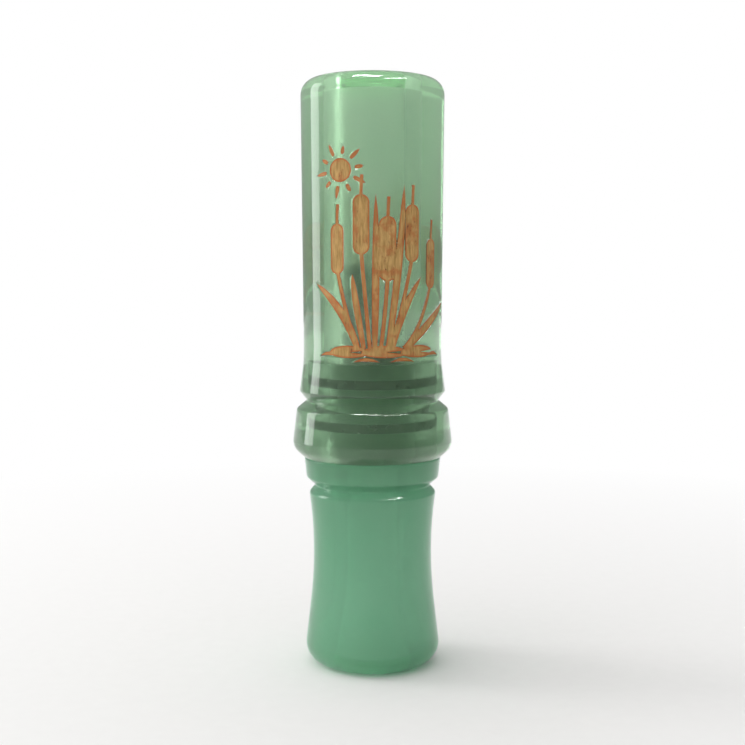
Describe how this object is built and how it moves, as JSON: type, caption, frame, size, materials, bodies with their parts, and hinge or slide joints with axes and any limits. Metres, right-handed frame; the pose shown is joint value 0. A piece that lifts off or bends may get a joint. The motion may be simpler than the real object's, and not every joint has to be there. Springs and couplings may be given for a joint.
{
  "type": "short-reed call",
  "caption": "Turned translucent short-reed game call: a barrel with a lanyard band slides over O-rings onto a flared insert that holds a drop-in gut, reed and wedge.",
  "frame": {"origin": "centre of the exhaust end's face, on the call's axis", "axes": "+Z along the call from the exhaust end to the mouthpiece; -Y towards the front engraving; the reed lies on the +X side of the tone board"},
  "size_m": [0.035, 0.035, 0.1282],
  "materials": {
    "barrel_acrylic": "polished milky translucent jade green",
    "insert_acrylic": "polished milky translucent jade green",
    "o_ring_rubber": "lightly greased black rubber",
    "gut_plastic": "machined black acetal",
    "reed_film": "frosted clear polyester film",
    "wedge_plastic": "machined black acetal",
    "engraving_fill": "tan fill with scorched orange edges"
  },
  "bodies": {
    "insert": {"insert": "insert_acrylic"},
    "seals": {"o_ring_upper": "o_ring_rubber", "o_ring_lower": "o_ring_rubber"},
    "barrel": {"barrel": "barrel_acrylic", "front_engraving_fill": "engraving_fill", "back_engraving_fill": "engraving_fill"},
    "gut": {"gut": "gut_plastic"},
    "wedge": {"wedge": "wedge_plastic"},
    "reed": {"reed": "reed_film"}
  },
  "joints": [
    {"name": "barrel_turn", "type": "hinge", "parent": "insert", "child": "seals", "pos_m": [0, 0, 0.05], "axis": [0, 0, 1], "continuous": true},
    {"name": "barrel_pull", "type": "slide", "parent": "seals", "child": "barrel", "axis": [0, 0, 1], "range_m": [0, 0.05]},
    {"name": "gut_pull", "type": "slide", "parent": "insert", "child": "gut", "axis": [0, 0, 1], "range_m": [0, 0.024]},
    {"name": "wedge_pull", "type": "slide", "parent": "gut", "child": "wedge", "axis": [0, 0, 1], "range_m": [0, 0.0145]},
    {"name": "reed_flex", "type": "hinge", "parent": "wedge", "child": "reed", "pos_m": [0.00017, 0, 0.0706], "axis": [0, 1, 0], "range_deg": [-2.3, 1.5], "stiffness_Nm_per_rad": 0.011, "deforming": ["reed"]}
  ]
}
